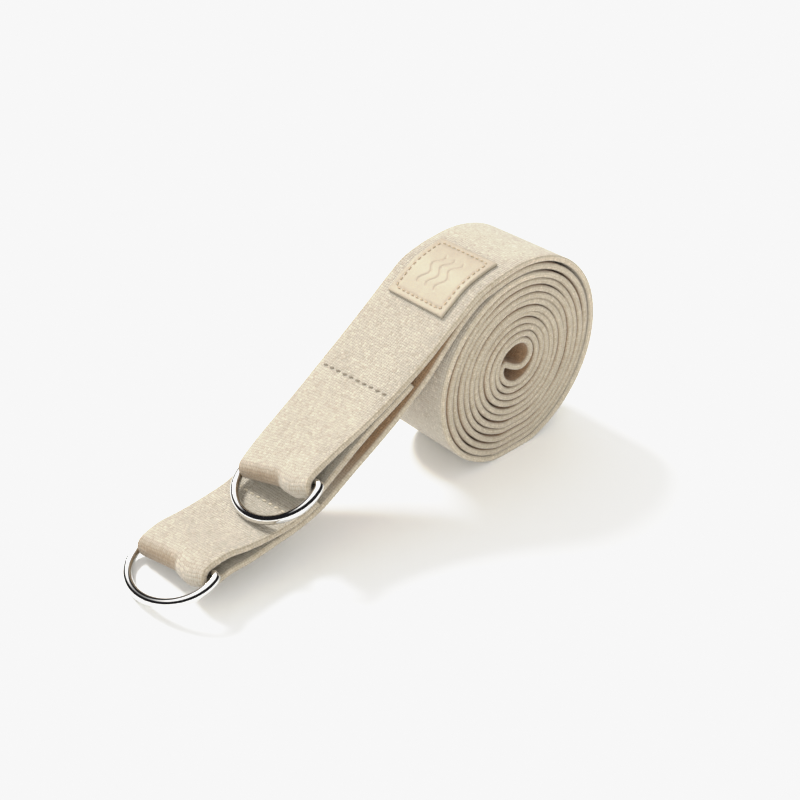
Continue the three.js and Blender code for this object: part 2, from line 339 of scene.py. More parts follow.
def spiral(turn, layer):
    """The middle of a layer after so many turns: x from the roll's axis, z from the floor."""
    depth = 2 * turn + layer
    radius = ROLL_RADIUS - LAYER_PITCH * depth + slack(turn, depth)
    for height, rate, apart in UNEVEN:
        radius = radius + height * np.sin(rate * turn + apart * layer)
    angle = 2 * np.pi * turn
    shift = smooth(turn, *CORE_TURNS)
    x = radius * np.sin(angle) + CORE_SHIFT[0] * shift
    z = ROLL_HEIGHT + radius * np.cos(angle) + CORE_SHIFT[1] * shift
    lowest = WEB_THICK / 2 + LAYER_PITCH * np.round(depth - 1)
    rested = FLOOR_SOFT * np.logaddexp(z / FLOOR_SOFT, lowest / FLOOR_SOFT)
    pressed = np.where(np.cos(angle) < 0, rested, z)
    return np.stack([x, np.zeros_like(x), pressed], axis=-1)


def wound(layer, start, end):
    """A layer's points from one turn to another."""
    turns = np.arange(start, end, DENSE / (np.pi * ROLL_RADIUS))
    return spiral(turns, layer)


def bar_frame(end):
    """The bar's middle, and the directions along it, on along the strand, out along the ring and up."""
    joint = joints[end["joint"]]
    bar = np.array(joint["pos_m"]) / MM - ORIGIN
    along = np.array(joint["axis"])
    yaw = math.atan2(-along[0], along[1])

    def onward(fall):
        level = np.array([-math.cos(yaw) * math.cos(fall), -math.sin(yaw) * math.cos(fall), -math.sin(fall)])
        return square_to(level, along)

    strand = onward(end["slope"])
    return {
        "bar": bar,
        "along": along,
        "strand": strand,
        "ring": onward(end["pitch"]),
        "up": np.cross(along, strand),
    }


def strand_line(end, place):
    """The strand from the roll to the bar: points, and the direction across towards the front."""
    roll_points = spiral(np.array([ROLL_START + 0.01, ROLL_START]), end["layer"])
    arrive = place["bar"] + place["up"] * end["side"] * LOOP_RADIUS

    leaves_at = end["route"][0][0]
    run = leaves_at - arrive[0]
    slant = -place["strand"][1] / place["strand"][0]

    def sideways(x):
        """From the roll's middle to the bar's, and square to the bar on arrival."""
        t = (leaves_at - x) / run
        return arrive[1] * t * t * (3 - 2 * t) + slant * run * t * t * (t - 1)

    between = [(x, sideways(x), z) for x, z in end["route"]]
    before_bar = arrive - STRAIGHT * place["strand"]
    past_bar = arrive + STRAIGHT / 2 * place["strand"]
    points = spline([roll_points[1], *between, before_bar, arrive], before=roll_points[0], after=past_bar)
    turned = (end["twist_from"] - points[:, 0]) / (end["twist_from"] - arrive[0])
    twist = np.clip(turned, 0, 1)[:, None] ** TWIST_EASE
    across = (1 - twist) * np.array([0, -1, 0]) + twist * -place["along"]
    return points, across


def loop_line(end, place):
    """Half a circle round the bar, on from the strand."""
    count = int(math.pi * LOOP_RADIUS / DENSE)
    angle = np.linspace(0, np.pi, count + 2)[1:-1, None]
    outward = place["up"] * end["side"] * np.cos(angle) + place["strand"] * np.sin(angle)
    points = place["bar"] + outward * LOOP_RADIUS
    return points, np.tile(-place["along"], (len(points), 1))


def fold_back_line(end, strand, across):
    """The layer folded back under or over the strand, from the bar to the cut end."""
    points, sides = strand[::-1], across[::-1]
    distance = travel(points)
    kept = distance < end["fold_back"]
    normal = np.cross(square_to(sides, tangents_of(points)), tangents_of(points))
    apart = 2 * LOOP_RADIUS + (LAYERS_APART - 2 * LOOP_RADIUS) * smooth(distance, 0, LAYERS_MEET)
    # going back towards the roll, normal points down from the strand on the upper end and up on the lower one
    up = -normal if np.dot(normal[0], [0, 0, 1]) < 0 else normal
    points = points - up * end["side"] * apart[:, None]
    return points[kept], sides[kept]


def end_parts(end, place):
    """One end from the roll outwards, as points and directions across: strand, loop and fold-back."""
    strand, across = strand_line(end, place)
    return [(strand[1:], across[1:]), loop_line(end, place), fold_back_line(end, strand, across)]


def wound_part():
    """The roll: in along the outer strand, round the fold in its middle and out along the inner one."""
    outer = wound(0, ROLL_START, OUTER_END)
    inner = wound(1, ROLL_START, INNER_END)[::-1]
    fold_points = [(x, 0, z + ROLL_HEIGHT) for x, z in FOLD]
    through = [outer[-1], *fold_points, inner[0]]
    fold = spline(through, before=outer[-FOLD_LEAD], after=inner[FOLD_LEAD])[1:-1]
    points = np.concatenate([outer, fold, inner])
    return points, np.tile([0.0, -1.0, 0.0], (len(points), 1))


def whole_band():
    """The band's middle line from the upper cut end to the lower one, at even steps."""
    upper, lower = bar_frame(UPPER), bar_frame(LOWER)
    inwards = [(points[::-1], sides[::-1]) for points, sides in reversed(end_parts(UPPER, upper))]
    parts = [*inwards, wound_part(), *end_parts(LOWER, lower)]
    upper_loop, roll, lower_loop = 1, 3, 5      # their places among the parts
    starts = np.cumsum([0] + [len(points) for points, _ in parts])
    line = np.concatenate([points for points, _ in parts])
    sides = np.concatenate([side for _, side in parts])
    distance = travel(line)

    def middle_of(part):
        return distance[(starts[part] + starts[part + 1]) // 2]

    at = np.linspace(0, distance[-1], int(round(distance[-1] / STATION)) + 1)
    line = resample(distance, line, at)
    sides = unit(resample(distance, sides, at))
    for _ in range(SMOOTHING):
        line[1:-1] = (line[:-2] + 2 * line[1:-1] + line[2:]) / 4
    return {
        "at": at,
        "line": line,
        "across": sides,
        "normal": unit(np.cross(sides, tangents_of(line))),
        "length": distance[-1],
        "upper": {**UPPER, **upper, "apex": middle_of(upper_loop)},
        "lower": {**LOWER, **lower, "apex": middle_of(lower_loop)},
        "leaves": distance[starts[roll]],
        "rejoins": distance[starts[roll + 1] - 1],
    }


band = whole_band()


# ---------------------------------------------------------------- the band's surface

def square_round(value):
    """Turns the sine or cosine of a circle into that of a squarer outline."""
    return math.copysign(abs(value) ** SQUARENESS, value)


def section():
    """The webbing's outline from the top face round the front edge: share across, outward share, height."""
    rows = []
    edge = [math.pi / 2 - math.pi * i / EDGE_STEPS for i in range(EDGE_STEPS + 1)]
    for spot in FACE_SPOTS:
        rows.append((spot, 0.0, 1.0))
    for angle in edge:
        rows.append((1.0, square_round(math.cos(angle)), square_round(math.sin(angle))))
    for spot in reversed(FACE_SPOTS):
        rows.append((spot, 0.0, -1.0))
    for angle in edge:
        rows.append((-1.0, square_round(math.cos(angle)), -square_round(math.sin(angle))))
    return np.array(rows)


def place_on_band(at, across, height):
    """Points of the webbing: at along it, across towards the front, and height over its middle."""
    distance = band["at"]
    line = resample(distance, band["line"], at)
    sides = unit(resample(distance, band["across"], at))
    normal = unit(resample(distance, band["normal"], at))
    points = line + sides * across[:, None] + normal * height[:, None]
    return points + loosen(at, across / (WEB_WIDTH / 2))


def loosen(at, share):
    """How the loops round the bars stray from a plain band."""
    moved = np.zeros((len(at), 3))
    loose = smooth(share, *LOOSE_RISE) * (1 - 0.5 * smooth(share, *LOOSE_FALL))
    for end in (band["upper"], band["lower"]):
        away = np.abs(at - end["apex"])
        ridge = RIDGE * bell(share - RIDGE_AT, RIDGE_WIDTH) * bell(away, RIDGE_REACH)
        moved += end["strand"] * (BULGE * loose * bell(away, BULGE_REACH) + ridge)[:, None]
        moved -= end["up"] * (DROOP * loose * bell(away, DROOP_REACH))[:, None]
    return moved


def half_width(at):
    """Half the webbing's width along the band: narrower in the loops, and never quite even."""
    half = np.full(len(at), WEB_WIDTH / 2)
    for end in (band["upper"], band["lower"]):
        half -= (WEB_WIDTH - LOOP_WIDTH) / 2 * (1 - smooth(np.abs(at - end["apex"]), *NARROWS))
    return half + drift(at, WIDTH_DRIFT)


def surface_points(rows):
    """The webbing's outline at each station along the band, loosened at the loops."""
    at = band["at"]
    share, outward, height = rows.T
    scallop = SCALLOP * np.cos(2 * np.pi * at / WEFT_PITCH)
    entering = smooth(at, band["leaves"], band["leaves"] + ROLL_EASE)
    in_roll = entering * (1 - smooth(at, band["rejoins"] - ROLL_EASE, band["rejoins"]))
    from_axis = unit(band["line"] - np.array([0, 0, ROLL_HEIGHT]))
    half_thick = WEB_THICK / 2 + PRESSED * in_roll * smooth(from_axis[:, 0], *FAR_SIDE)

    face = share[None] * (half_width(at) - SELVEDGE)[:, None]
    edge = np.sign(share)[None] * outward[None] * (SELVEDGE + scallop[:, None])
    across = face + edge + (in_roll * drift(at, ROLL_DRIFT))[:, None]
    lift = height[None] * half_thick[:, None]
    points = band["line"][:, None] + band["across"][:, None] * across[..., None]
    points = points + band["normal"][:, None] * lift[..., None]
    moved = loosen(np.repeat(at, len(rows)), across.reshape(-1) / (WEB_WIDTH / 2))
    return points + moved.reshape(points.shape)


def distance_round(rows):
    """The distance round the plain outline to each of its points, and back to the first."""
    share, outward, height = rows.T
    across = share * FACE_HALF + np.copysign(outward * SELVEDGE, share)
    outline = np.stack([across, height * WEB_THICK / 2], axis=1)
    return travel(np.vstack([outline, outline[:1]]))


def add_webbing():
    """The whole band as one closed mesh, and the distance round its outline."""
    rows = section()
    points, faces, caps = sweep(surface_points(rows))
    around = distance_round(rows)
    cap_uvs = np.zeros((2 * len(rows), 2))
    cap_uvs[:, 0] = np.tile(around[:-1], 2)
    uvs = np.concatenate([sleeve_uvs(band["at"], around), cap_uvs]) * MM
    all_faces = [tuple(face) for face in faces] + [tuple(cap) for cap in caps]
    return make_object("webbing", points, all_faces, uvs), around[-1]


webbing, girth = add_webbing()

# places round the webbing's outline, as the texture layer measures it
EDGE_GIRTH = (girth - 4 * FACE_HALF) / 2
CREASE_AT = (CREASE - FACE_SPOTS[0]) * FACE_HALF
EDGE_FROM = (1 - FACE_SPOTS[0]) * FACE_HALF
EDGE_TO = EDGE_FROM + EDGE_GIRTH
BACK_EDGE_FROM = EDGE_TO + 2 * FACE_HALF
BACK_EDGE_TO = BACK_EDGE_FROM + EDGE_GIRTH


# ---------------------------------------------------------------- D-rings

def ring_path():
    """The wire's middle line in the ring's own plane: inward from the bow, then along the bar."""
    half = RING_WIDTH / 2
    shoulder = half - RING_CORNER
    butt = RING_BUTT_GAP / 2

    def corner(side):
        t = np.linspace(0, 1, CORNER_POINTS, endpoint=False)[:, None]
        ends = [(0, side * shoulder), (0, side * half), (-RING_CORNER, side * half)]
        if side < 0:
            ends.reverse()
        first, middle, last = np.array(ends)
        return (1 - t) ** 2 * first + 2 * t * (1 - t) * middle + t ** 2 * last

    first_half = [[0, y] for y in np.linspace(butt, shoulder, BAR_POINTS, endpoint=False)]
    second_half = [[0, y] for y in np.linspace(-shoulder, -butt, BAR_POINTS + 1)]
    angle = np.linspace(0, np.pi, BOW_POINTS, endpoint=False)
    bow_depth = RING_DEPTH - RING_CORNER
    bow = np.stack([-RING_CORNER - bow_depth * np.sin(angle), half * np.cos(angle)], axis=1)
    return np.concatenate([np.array(first_half), corner(1), bow, corner(-1), np.array(second_half)])


def wire_radius(at):
    """The wire's radius along it: its two cut ends are dressed round."""
    from_end = np.minimum(at, at[-1] - at)
    into_rounding = np.clip(WIRE_END - from_end, 0, None)
    rounded = np.sqrt(np.clip(WIRE_END ** 2 - into_rounding ** 2, 0, None))
    return WIRE / 2 - WIRE_END + rounded


def add_ring(name, end):
    """One D-ring's wire, lying at rest in its loop."""
    flat = ring_path()
    distance = travel(flat)
    at = np.linspace(0, distance[-1], WIRE_STEPS)
    flat = resample(distance, flat, at)
    inward = -end["ring"]
    upward = np.cross(inward, end["along"])
    line = end["bar"] + flat[:, :1] * inward + flat[:, 1:] * end["along"]
    outward = np.cross(tangents_of(line), upward)
    spokes = circle_spokes(outward, np.tile(upward, (len(line), 1)), WIRE_SIDES)
    points, faces, caps = sweep(line[:, None] + spokes * wire_radius(at)[:, None, None])
    around = np.arange(WIRE_SIDES + 1) * WIRE * math.pi / WIRE_SIDES
    uvs = np.concatenate([sleeve_uvs(at, around), np.zeros((2 * WIRE_SIDES, 2))]) * MM
    all_faces = [tuple(face[::-1]) for face in faces] + [tuple(cap[::-1]) for cap in caps]
    return make_object(name, points, all_faces, uvs)


upper_ring = add_ring("upper_ring_wire", band["upper"])
lower_ring = add_ring("lower_ring_wire", band["lower"])


# ---------------------------------------------------------------- sewing

ALONG_STITCH = np.linspace(-1, 1, STITCH_POINTS)


def arched(proud, dive):
    """Height of the thread's middle along one stitch, which dives into the cloth at both ends."""
    return proud - dive * ALONG_STITCH ** 4


def stitch(place, along, across, height):
    """One stitch as thread_beads() takes it: its line, and the direction up from the cloth."""
    line = place(along, across, height)
    above = place(along, across, height + 1)
    return line, unit(above - line)


def thread_beads(name, stitches, thick):
    """Short lengths of thread with round ends, one for each stitch."""
    points, faces = [], []
    radius = thick / 2 * np.sqrt(np.clip(1 - ALONG_STITCH ** 8, 0.06, 1))
    for line, up in stitches:
        side = np.cross(tangents_of(line), up)
        spokes = circle_spokes(side, up, THREAD_SIDES)
        new_points, new_faces, caps = sweep(line[:, None] + spokes * radius[:, None, None])
        start = len(points)
        points += list(new_points)
        faces += [tuple(start + face) for face in new_faces]
        faces += [tuple(start + cap) for cap in caps]
    return make_object(name, np.array(points), faces)


def stitch_row(name, at):
    """A row of stitches across the webbing's outer face at one place."""
    count = int((WEB_WIDTH - ROW_MARGIN) // STITCH)
    height = WEB_THICK / 2 + arched(STITCH_PROUD, STITCH_DIVE)
    along = at + STITCH_SLANT * ALONG_STITCH
    stitches = []
    for i in range(count):
        middle = (i - (count - 1) / 2) * STITCH
        across = middle + ALONG_STITCH / 2 * STITCH * STITCH_SHOWS
        stitches.append(stitch(place_on_band, along, across, height))
    return thread_beads(name, stitches, THREAD)


def sew_end(name, end, cut_at, towards):
    """Two rows of one seam: the needle's on the side that shows, and the bobbin's under it."""
    on_fold = cut_at + towards * STITCH_ROW
    on_strand = 2 * end["apex"] - on_fold
    upper_face = on_strand if end["side"] > 0 else on_fold
    lower_face = on_fold if end["side"] > 0 else on_strand
    needle = stitch_row(f"{name}_needle_stitches", upper_face)
    bobbin = stitch_row(f"{name}_bobbin_stitches", lower_face)
    return needle, bobbin


upper_needle, upper_bobbin = sew_end("upper_end", band["upper"], 0.0, 1)
lower_needle, lower_bobbin = sew_end("lower_end", band["lower"], band["length"], -1)


# ---------------------------------------------------------------- label

def label_point(along, across, height):
    """Points of the label: along it from the edge nearest the roll, as the strand runs."""
    at = band["leaves"] - LABEL_START - along
    return place_on_band(at, across, LABEL_BASE + height)


def wave_lines(along, across):
    """Depth of three generic wavy lines pressed into the leather, running along the label."""
    last = LABEL_LENGTH - MARK_INSET
    starting = smooth(along, MARK_INSET, MARK_INSET + MARK_FADE)
    inside = starting * (1 - smooth(along, last - MARK_FADE, last))
    swing = MARK_SWING * np.sin(2 * np.pi * (along - MARK_INSET) / MARK_WAVE)
    depth = np.zeros_like(along)
    for offset in MARK_LINES:
        depth = depth + bell(across - offset - swing, MARK_SPREAD) * inside
    return np.clip(depth, 0, 1)


def seam_distance(along, across):
    """Distance from the label's seam, a rounded rectangle set in from the edge."""
    to_corner = LABEL_SEAM_INSET + LABEL_SEAM_CORNER
    x = np.abs(along - LABEL_LENGTH / 2) - (LABEL_LENGTH / 2 - to_corner)
    y = np.abs(across) - (LABEL_WIDTH / 2 - to_corner)
    outside = np.hypot(np.clip(x, 0, None), np.clip(y, 0, None))
    return np.abs(outside + np.clip(np.maximum(x, y), None, 0) - LABEL_SEAM_CORNER)


def label_height(along, across):
    """The leather's top: rounded at the edge, and pressed in at the seam and the wavy lines."""
    from_ends = LABEL_LENGTH / 2 - np.abs(along - LABEL_LENGTH / 2)
    from_edge = np.minimum(from_ends, LABEL_WIDTH / 2 - np.abs(across))
    falling = 1 - np.clip(from_edge / LABEL_EDGE, 0, 1)
    height = LABEL_THICK - LABEL_EDGE_DROP * (1 - np.sqrt(1 - falling ** 2))
    height = height - LABEL_SEAM_DEPTH * bell(seam_distance(along, across), LABEL_SEAM_SPREAD)
    return height - MARK_DEPTH * wave_lines(along, across)


def label_spots(size):
    """Places along one side of the label, closer together where its edges round off."""
    count = int(round((size - 2 * LABEL_EDGE) / LABEL_STEP)) + 1
    inner = np.linspace(LABEL_EDGE, size - LABEL_EDGE, count)
    edge = LABEL_EDGE * np.array([0, 0.1, 0.3, 0.6])
    return np.concatenate([edge, inner, size - edge[::-1]])


def add_label():
    """The label as a closed patch that follows the strand."""
    a, c = np.meshgrid(label_spots(LABEL_LENGTH), label_spots(LABEL_WIDTH) - LABEL_WIDTH / 2, indexing="ij")
    index = np.arange(a.size).reshape(a.shape)
    a, c = a.ravel(), c.ravel()
    top = label_point(a, c, label_height(a, c))
    bottom = label_point(a, c, np.zeros_like(a))
    count = len(a)
    quads = np.stack([index[:-1, :-1], index[1:, :-1], index[1:, 1:], index[:-1, 1:]], -1).reshape(-1, 4)
    faces = [tuple(quad) for quad in quads] + [tuple(quad[::-1] + count) for quad in quads]
    rim = np.concatenate([index[0, :-1], index[:-1, -1], index[-1, :0:-1], index[:0:-1, 0]])
    faces += [(p, q, q + count, p + count) for p, q in zip(rim, np.roll(rim, -1))]
    flat = np.stack([c, a], axis=1)
    flat = np.concatenate([flat, flat]) * MM
    uvs = np.concatenate([flat[list(face)] for face in faces])
    return make_object("label_patch", np.concatenate([top, bottom]), faces, uvs)


label = add_label()


def seam_outline():
    """The label's seam from its middle, a closed rectangle with round corners."""
    radius = LABEL_SEAM_CORNER
    x = LABEL_LENGTH / 2 - LABEL_SEAM_INSET - radius
    y = LABEL_WIDTH / 2 - LABEL_SEAM_INSET - radius
    outline = []
    for quarter, (side_x, side_y) in enumerate([(1, 1), (-1, 1), (-1, -1), (1, -1)]):
        for angle in np.linspace(quarter * math.pi / 2, (quarter + 1) * math.pi / 2, 8):
            outline.append((side_x * x + radius * math.cos(angle), side_y * y + radius * math.sin(angle)))
    return np.array(outline + outline[:1])


def label_seam():
    """Stitches round the label, on its seam line."""
    outline = seam_outline()
    distance = travel(outline)
    count = int(round(distance[-1] / LABEL_STITCH))
    pitch = distance[-1] / count
    height = LABEL_THICK - LABEL_SEAM_DEPTH + arched(LABEL_STITCH_PROUD, LABEL_STITCH_DIVE)
    stitches = []
    for i in range(count):
        at = (i + 0.5) * pitch + ALONG_STITCH / 2 * pitch * LABEL_STITCH_SHOWS
        spots = resample(distance, outline, at % distance[-1])
        stitches.append(stitch(label_point, spots[:, 0] + LABEL_LENGTH / 2, spots[:, 1], height))
    return thread_beads("label_stitches", stitches, LABEL_THREAD)


label_stitches = label_seam()


# ---------------------------------------------------------------- materials
# Noise scales are per metre: at 300 a patch is about 3 mm across, and at 3200 a third of a millimetre.

class Nodes:
    """Builds one material's nodes."""

    def __init__(self, name):
        self.material = bpy.data.materials.new(name)
        self.material.use_nodes = True
        self.tree = self.material.node_tree
        self.shader = self.tree.nodes["Principled BSDF"]

    def add(self, kind, inputs=(), **settings):
        """A node with its settings, and its inputs by name or number."""
        node = self.tree.nodes.new(kind)
        for key, value in settings.items():
            setattr(node, key, value)
        for key, value in dict(inputs).items():
            self.put(node.inputs[key], value)
        return node

    def put(self, socket, value):
        """Links another node's output to a socket, or sets a plain value on it."""
        if isinstance(value, bpy.types.NodeSocket):
            self.tree.links.new(value, socket)
        else:
            socket.default_value = value

    def math(self, operation, first, second=0.5, third=0.5):
        node = self.add("ShaderNodeMath", {0: first, 1: second, 2: third}, operation=operation)
        return node.outputs[0]

    def mix(self, share, first, second, blend="MIX"):
        """The first colour at share 0, and the second, or the two blended, at share 1."""
        node = self.add("ShaderNodeMix", data_type="RGBA", blend_type=blend)
        self.put(node.inputs["Factor"], share)
        self.put(node.inputs[6], first)
        self.put(node.inputs[7], second)
        return node.outputs[2]

    def noise(self, where, scale, detail=3.0, roughness=0.5):
        inputs = {"Vector": where, "Scale": scale, "Detail": detail, "Roughness": roughness}
        return self.add("ShaderNodeTexNoise", inputs).outputs["Fac"]

    def span(self, value, low, high, new_low=0.0, new_high=1.0):
        """The value moved from one range to another, and held at the new range's ends."""
        inputs = {"Value": value, "From Min": low, "From Max": high, "To Min": new_low, "To Max": new_high}
        return self.add("ShaderNodeMapRange", inputs).outputs["Result"]

    def where(self):
        """The place in the piece's own space, in metres."""
        return self.add("ShaderNodeTexCoord").outputs["Object"]

    def texture_layer(self):
        """The place round and along a piece, or across and along the label, in metres."""
        return self.add("ShaderNodeUVMap", uv_map="weave").outputs["UV"]

    def bump(self, height, distance, strength):
        inputs = {"Height": height, "Distance": distance, "Strength": strength}
        return self.add("ShaderNodeBump", inputs).outputs["Normal"]

    def shade(self, **sockets):
        """Sets or links the shader's inputs, with _ for the spaces in their names."""
        for key, value in sockets.items():
            self.put(self.shader.inputs[key.replace("_", " ")], value)


def colour(red, green, blue):
    return (red, green, blue, 1.0)


def between(n, value, low, high, soft):
    """1 where low < value < high, with soft borders."""
    rise = n.span(value, low - soft, low + soft)
    fall = n.span(value, high + soft, high - soft)
    return n.math("MULTIPLY", rise, fall)


def plain_weave(n, round_band, along_band):
    """The height of a plain weave's yarns, and a random value for each crossing."""
    across_pitch = girth / (2 * round(girth / YARN / 2)) * MM
    wander = n.math("MULTIPLY_ADD", n.noise(n.where(), 300.0, 3.0), 0.9, -0.45)
    drift_along = n.math("MULTIPLY_ADD", n.noise(n.where(), 420.0, 3.0), 0.9, -0.45)
    u = n.math("ADD", n.math("DIVIDE", round_band, across_pitch), wander)
    v = n.math("ADD", n.math("DIVIDE", along_band, YARN * MM), drift_along)
    column = n.math("FLOOR", u)
    row = n.math("FLOOR", v)

    def yarn(over, past, shift):
        ridge = n.math("SQRT", n.math("ABSOLUTE", n.math("SINE", n.math("MULTIPLY", over, math.pi))))
        phase = n.math("SUBTRACT", n.math("ADD", past, shift), 0.5)
        wave = n.math("COSINE", n.math("MULTIPLY", phase, math.pi))
        return n.math("MULTIPLY", ridge, n.math("MULTIPLY_ADD", wave, 0.5, 0.5))

    warp = yarn(u, v, column)
    weft = yarn(v, u, n.math("ADD", row, 1.0))
    cell = n.add("ShaderNodeCombineXYZ", {0: column, 1: row}).outputs[0]
    fleck = n.add("ShaderNodeTexWhiteNoise", {"Vector": cell}, noise_dimensions="2D").outputs["Value"]
    return n.math("MAXIMUM", warp, weft), fleck


def cotton_colour_and_yarn_shade(n, weave, fleck, fibre):
    """The cotton's colour: its own patches and flecks, and painted shade between the yarns."""
    pale = colour(0.60, 0.555, 0.47)
    speck = n.noise(n.where(), 1500.0, 2.0, 0.6)
    patch = n.noise(n.where(), 45.0, 3.0)
    base = n.mix(n.span(patch, 0.3, 0.7), colour(0.398, 0.368, 0.306), colour(0.448, 0.416, 0.350))
    base = n.mix(n.span(fleck, 0.76, 0.95, 0.0, 0.35), base, colour(0.30, 0.235, 0.155))
    base = n.mix(n.span(fleck, 0.26, 0.0, 0.0, 0.5), base, pale)
    # painted shade: brown where the weave is low, in the hollows between the yarns
    base = n.mix(n.span(weave, 0.70, 0.10, 0.0, 0.60), base, colour(0.22, 0.155, 0.09))
    base = n.mix(n.span(speck, 0.60, 0.72, 0.0, 0.45), base, colour(0.25, 0.19, 0.12))
    base = n.mix(n.span(speck, 0.42, 0.30, 0.0, 0.55), base, pale)
    return n.mix(n.span(fibre, 0.35, 0.7, 0.0, 0.30), base, colour(0.58, 0.535, 0.45))


def painted_light_and_shade(n, base, round_band, along_band):
    """Painted light and shade: paler on the roll's outside turn, as painted light; browner between the layers
    and on the edges, as painted shade.
    """
    turn_end = (band["leaves"] + OUTER_TURN) * MM
    painted_light_outer_turn = between(n, along_band, band["leaves"] * MM, turn_end, 0.012)
    # painted light: the roll's outside turn is made paler, as if lit more brightly
    base = n.mix(painted_light_outer_turn, base, colour(1.12, 1.13, 1.14), "MULTIPLY")
    # painted shade: faces of the buried turns, and of the lower strand where the upper one shades it, are
    # made browner
    painted_shade_between_layers = between(n, along_band, turn_end, (band["rejoins"] + SHADED) * MM, 0.012)
    on_face = n.math("SUBTRACT", 1.0, between(n, round_band, EDGE_FROM * MM, EDGE_TO * MM, 0.0006))
    back_edge = between(n, round_band, BACK_EDGE_FROM * MM, BACK_EDGE_TO * MM, 0.0006)
    on_face = n.math("SUBTRACT", on_face, back_edge)
    base = n.mix(n.math("MULTIPLY", painted_shade_between_layers, on_face), base, colour(0.76, 0.53, 0.36), "MULTIPLY")
    # painted shade: the edges are tinted browner, for the warm shade on the roll's side
    return n.mix(n.math("SUBTRACT", 1.0, on_face), base, colour(1.0, 0.955, 0.88), "MULTIPLY")


def painted_loop_shade(n, base, round_band, along_band):
    """Painted shade on the loops round the bars, darkest on their set-back half, which lies in shade."""
    front_half = between(n, round_band, CREASE_AT * MM, BACK_EDGE_FROM * MM, 0.0012)
    set_back = n.math("SUBTRACT", 1.0, front_half)
    amount = n.math("MULTIPLY_ADD", set_back, 0.75, 0.15)
    for end in (band["upper"], band["lower"]):
        fold = between(n, along_band, (end["apex"] - LOOP_SHADE_REACH) * MM, (end["apex"] + LOOP_SHADE_REACH) * MM, 0.0016)
        # painted shade: the loops are darkened brown where shade falls, most of all on their set-back half
        base = n.mix(n.math("MULTIPLY", fold, amount), base, colour(0.62, 0.50, 0.38), "MULTIPLY")
    return base


def cotton():
    """Undyed cotton webbing in plain weave, with painted light and shade in its colour."""
    n = Nodes("cotton_webbing")
    split = n.add("ShaderNodeSeparateXYZ", {0: n.texture_layer()})
    round_band, along_band = split.outputs[0], split.outputs[1]
    weave, fleck = plain_weave(n, round_band, along_band)
    fibre = n.noise(n.where(), 3200.0, 4.0, 0.65)
    base = cotton_colour_and_yarn_shade(n, weave, fleck, fibre)
    base = painted_light_and_shade(n, base, round_band, along_band)
    base = painted_loop_shade(n, base, round_band, along_band)
    height = n.math("ADD", n.math("MULTIPLY", weave, 0.8), n.math("MULTIPLY", fibre, 0.35))
    n.shade(Base_Color=base, Roughness=n.span(fibre, 0.2, 0.8, 0.82, 0.98))
    n.shade(Normal=n.bump(height, 0.0003, 0.9))
    n.shade(Sheen_Weight=0.2, Sheen_Roughness=0.5, Specular_IOR_Level=0.2)
    return n.material


def nickel():
    """Polished nickel plate with fine scratches and a faint warmth."""
    n = Nodes("polished_nickel")
    drawn_out = {"Vector": n.texture_layer(), "Scale": (9000.0, 260.0, 1.0)}
    stretched = n.add("ShaderNodeMapping", drawn_out).outputs[0]
    scratches = n.noise(stretched, 1.0, 3.0)
    smudge = n.noise(n.where(), 130.0, 4.0)
    base = n.mix(n.span(smudge, 0.3, 0.75), colour(0.80, 0.79, 0.77), colour(0.72, 0.70, 0.67))
    rough = n.math("ADD", n.span(smudge, 0.35, 0.75, 0.04, 0.10), n.span(scratches, 0.62, 0.8, 0.0, 0.10))
    n.shade(Base_Color=base, Roughness=rough, Normal=n.bump(scratches, 0.00001, 0.5))
    n.shade(Metallic=1.0)
    return n.material


def leather():
    """Smooth natural leather: fine grain and slight mottling."""
    n = Nodes("natural_leather")
    cells = {"Vector": n.texture_layer(), "Scale": 1500.0}
    grain = n.add("ShaderNodeTexVoronoi", cells, feature="DISTANCE_TO_EDGE").outputs[0]
    mottle = n.noise(n.where(), 210.0, 5.0, 0.6)
    pores = n.noise(n.where(), 2400.0, 2.0)
    base = n.mix(n.span(mottle, 0.3, 0.7), colour(0.365, 0.323, 0.250), colour(0.418, 0.376, 0.297))
    base = n.mix(n.span(grain, 0.10, 0.0, 0.0, 0.35), base, colour(0.50, 0.38, 0.24))
    height = n.math("ADD", n.span(grain, 0.0, 0.25), n.math("MULTIPLY", pores, 0.5))
    n.shade(Base_Color=base, Roughness=n.span(mottle, 0.3, 0.7, 0.48, 0.62))
    n.shade(Normal=n.bump(height, 0.00005, 0.6))
    n.shade(Specular_IOR_Level=0.4)
    return n.material


def thread(name, light, dark):
    """Twisted cotton thread: slanting plies and loose fibre."""
    n = Nodes(name)
    waves = {"Vector": n.where(), "Scale": 900.0, "Distortion": 2.0}
    plies = n.add("ShaderNodeTexWave", waves, bands_direction="DIAGONAL").outputs["Fac"]
    fibre = n.noise(n.where(), 5200.0, 3.0)
    base = n.mix(plies, dark, light)
    base = n.mix(n.span(fibre, 0.4, 0.7, 0.0, 0.4), base, light)
    n.shade(Base_Color=base, Roughness=0.85, Normal=n.bump(plies, 0.00006, 0.7))
    n.shade(Sheen_Weight=0.15)
    return n.material


def dress(piece, material, body):
    """Gives a piece its material, and the body that it belongs to."""
    piece.data.materials.append(material)
    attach(piece, body)


